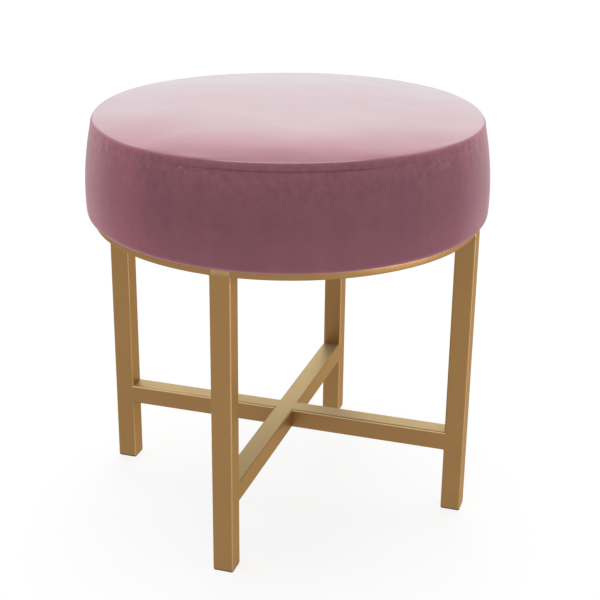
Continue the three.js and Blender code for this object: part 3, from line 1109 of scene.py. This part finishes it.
def crown_level(distance):
    """The crown's height at a distance from the middle, before the cloth swells."""
    fall = (distance / CREASE_RADIUS) ** CROWN_POWER
    return CREASE_LEVEL + (CROWN_RISE - CLOTH_ROOM) * (1 - fall)


def cut_top_panel():
    """The round top panel: the crown, then over the crease and the shoulder into the seam."""
    crown_radius = CREASE_RADIUS * (1 - 1 / (2 * CROWN_RINGS))
    crown_points, crown_faces = disc(crown_radius, CROWN_RINGS, crown_level)
    rim = sewn(panel_rim_profile)
    last_ring = len(crown_points) - COVER_SIDES
    rim_faces = grid_faces(len(rim) + 1, COVER_SIDES, first=last_ring)
    points = [*crown_points, *rim.reshape(-1, 3)]
    return add_skin("top_panel", "panel", (points, crown_faces + rim_faces))


def cut_side_band():
    """The side band, from the seam down the side and in under the seat."""
    rows = sewn(band_profile)
    skin = (rows.reshape(-1, 3), grid_faces(len(rows), COVER_SIDES))
    return add_skin("side_band", "band", skin)


def fill_out(piece, seam_level, pucker_share):
    """The foam's lumps, the cloth's swelling and the stitches' puckers, on one cover piece. Its seam
    allowance and its hem stay where they are sewn and stapled."""
    places = place_of(piece.data)
    _, radius = polar(places)
    at_seam = np.abs(places[:, 2] - seam_level) < SEAM_FOLD
    in_seam = at_seam & (radius > SEAM_RADIUS - SEAM_ALLOWANCE - MM)
    pinned = in_seam | (places[:, 2] < BAND_BOTTOM + MM)
    push = lump(places, FOAM_LUMP_SIZE, FOAM_LUMP, FOAM_LUMP_SEED)
    push[pinned] = 0
    normals = vectors_of(piece.data.vertex_normals, "vector")
    set_place(piece.data, places + normals * push[:, None])
    inflate(piece, pinned)
    modify(piece, "SUBSURF", levels=1, render_levels=1)
    pucker(piece, seam_level, pucker_share)


def make_cover():
    """The velvet cover: a round top panel and a side band, sewn together under the crease."""
    panel = cut_top_panel()
    band = cut_side_band()
    fill_out(panel, PANEL_BOTTOM, PANEL_PUCKER_SHARE)
    fill_out(band, BAND_TOP, 1)
    wave_crease(panel)
    for piece, node in ((panel, "seat_cover_panel"), (band, "seat_cover_band")):
        wander(piece)
        modify(piece, "SOLIDIFY", thickness=COVER_THICKNESS, offset=-1)
        finish_piece(piece, "velvet", node)


def make_foam():
    """The foam block, a little smaller than the cover that it fills."""
    low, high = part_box("seat_foam")
    rows = [
        (side_radius(max(level, FOOT_TOP)) - COVER_THICKNESS - SOFT_GAP, level)
        for level in [*spaced(low.z, high.z, FOAM_STEPS), high.z]
    ]
    lower, upper = rows[0][0], rows[-1][0]
    profile = [
        *((lower * share, low.z) for share in FOAM_FACE_SHARES),
        (lower - FOAM_EDGE, low.z),
        *rows[1:-1],
        (upper - FOAM_EDGE, high.z),
        *((upper * share, high.z) for share in reversed(FOAM_FACE_SHARES)),
    ]
    foam_piece = add_skin("foam_block", "foam", lofted(turned(profile, FILLING_SIDES)))
    wander(foam_piece)
    finish_piece(foam_piece, "foam", "seat_foam")


def make_wadding():
    """The wadding over the foam, stepped in under the seam and crowned like the cover."""
    low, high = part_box("seat_wadding")
    reach = CREASE_RADIUS - COVER_THICKNESS - SOFT_GAP
    inner = SEAM_RADIUS - SEAM_ALLOWANCE - SOFT_GAP
    step_level = PANEL_BOTTOM + COVER_THICKNESS + SOFT_GAP
    top = high.z - SOFT_GAP / 2
    profile = [
        *((inner * share, low.z) for share in WADDING_UNDERSIDE_SHARES),
        (inner, step_level),
        (reach, step_level),
        *((reach * share, top - CROWN_RISE * share ** 2) for share in WADDING_TOP_SHARES),
    ]
    layer = add_skin("wadding_layer", "wadding", lofted(turned(profile, FILLING_SIDES)))
    wander(layer)
    finish_piece(layer, "wadding", "seat_wadding")


def make_dust_cover():
    """A thin cloth disc pulled over the underside, sagging slightly inside the ring."""
    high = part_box("dust_cover")[1]
    radius = high.x

    def level(distance):
        inside = max(1 - (distance / RING_BORE) ** 2, 0)
        return high.z - DUST_COVER_SAG * inside

    mesh = make_mesh("dust_cover", *disc(radius, DUST_COVER_RINGS, level))
    places = place_of(mesh)
    _, distance = polar(places)
    inside = np.clip(1 - distance / RING_BORE, 0, 1)
    wrinkles = lump(places, DUST_COVER_WRINKLE_SIZE, DUST_COVER_WRINKLE, DUST_COVER_SEED)
    places[:, 2] += wrinkles * np.sqrt(inside)
    set_place(mesh, places)
    sheet = add_object("dust_cover_cloth", mesh)
    modify(sheet, "SOLIDIFY", thickness=DUST_COVER_THICKNESS, offset=-1)
    finish_piece(sheet, "dust_cloth", "dust_cover")


def dress_kept_nodes():
    """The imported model's own pieces that stay get their finishes."""
    slots = {row["node"]: row["material_slot"] for row in frame["record"]["subparts"]}
    for name, node in frame["nodes"].items():
        node.data.materials.clear()
        node.data.materials.append(FINISHES[slots[name]])


def seen_directly(tree):
    """1 for the camera, gloss and glass, and 0 for the light that falls on other things."""
    rays = tree.add("ShaderNodeLightPath", out="Is Camera Ray")
    for name in ("Is Glossy Ray", "Is Transmission Ray"):
        rays = rays + tree.add("ShaderNodeLightPath", out=name)
    return rays.math("MINIMUM", rays, 1.0)


def make_floor():
    """A pale floor that the camera and the gloss see as near white, with the stool's soft shadow."""
    tree, _ = new_material("floor")
    seen = seen_directly(tree)
    colour = seen.mix(grey(FLOOR_GREY), grey(FLOOR_SEEN_GREY))
    surface = tree.add("ShaderNodeBsdfDiffuse", None, {"Color": colour})
    glow = tree.add("ShaderNodeEmission", None, {"Color": WHITE, "Strength": seen * FLOOR_GLOW})
    both = tree.add("ShaderNodeAddShader", None, {0: surface, 1: glow})
    tree.add("ShaderNodeOutputMaterial", None, {"Surface": both})
    half = FLOOR_HALF_WIDTH
    corners = [(-half, -half, 0), (half, -half, 0), (half, half, 0), (-half, half, 0)]
    floor = add_skin("floor", "floor", (corners, [(0, 1, 2, 3)]))
    floor.data.materials.append(FINISHES["floor"])


def light_world():
    """Even light from all round, seen as white by the camera and by gloss."""
    world = bpy.data.worlds.new("studio")
    bpy.context.scene.world = world
    world.use_nodes = True
    world.node_tree.nodes.clear()
    tree = Shade(world.node_tree)
    strength = seen_directly(tree) * (1 - WORLD_STRENGTH) + WORLD_STRENGTH
    light = tree.add("ShaderNodeBackground", None, {"Color": WHITE, "Strength": strength})
    tree.add("ShaderNodeOutputWorld", None, {"Surface": light})


def way_to(azimuth, elevation):
    """The direction out from the middle at an azimuth and elevation in degrees."""
    around, up = math.radians(azimuth), math.radians(elevation)
    flat = math.cos(up)
    return Vector((math.sin(around) * flat, -math.cos(around) * flat, math.sin(up)))


def add_sun(name, azimuth, elevation, strength, spread):
    """A soft lamp from far away, at an azimuth and elevation in degrees."""
    lamp = bpy.data.lights.new(name, "SUN")
    lamp.energy = strength
    lamp.angle = math.radians(spread)
    made = add_object(name, lamp)
    made.rotation_mode = "QUATERNION"
    made.rotation_quaternion = way_to(azimuth, elevation).to_track_quat("Z", "Y")
    return made


def add_lamps():
    for name, settings in LAMPS.items():
        add_sun(name, *settings)
    for name, settings in CARDS.items():
        add_sun(name, *settings).visible_diffuse = False


def place_camera():
    """The photograph's camera, without shift."""
    azimuth, roll = math.radians(CAMERA_AZIMUTH), math.radians(CAMERA_ROLL)
    back = way_to(CAMERA_AZIMUTH, CAMERA_ELEVATION)
    level_right = Vector((math.cos(azimuth), math.sin(azimuth), 0))
    level_up = back.cross(level_right)
    right = level_right * math.cos(roll) + level_up * math.sin(roll)
    up = level_up * math.cos(roll) - level_right * math.sin(roll)
    target = level_right * CAMERA_SIDESTEP + UP * CAMERA_TARGET_HEIGHT
    data = bpy.data.cameras.new("camera")
    data.sensor_width = SENSOR_WIDTH
    data.lens = FOCAL_PIXELS / IMAGE_SIZE * SENSOR_WIDTH
    camera = add_object("camera", data)
    turn = Matrix((right, up, back)).transposed().to_4x4()
    camera.matrix_world = Matrix.Translation(target + back * CAMERA_DISTANCE) @ turn
    bpy.context.scene.camera = camera


for make_finish in (gold_paint, velvet, moulded_plastic, wadding, foam, plywood, dust_cloth, zinc_steel):
    make_finish()
place_camera()
make_legs()
make_stretchers()
make_welds()
make_ring()
make_fixings()
make_cover()
make_foam()
make_wadding()
make_dust_cover()
dress_kept_nodes()
make_floor()
light_world()
add_lamps()
bpy.context.scene.view_settings.view_transform = "Standard"
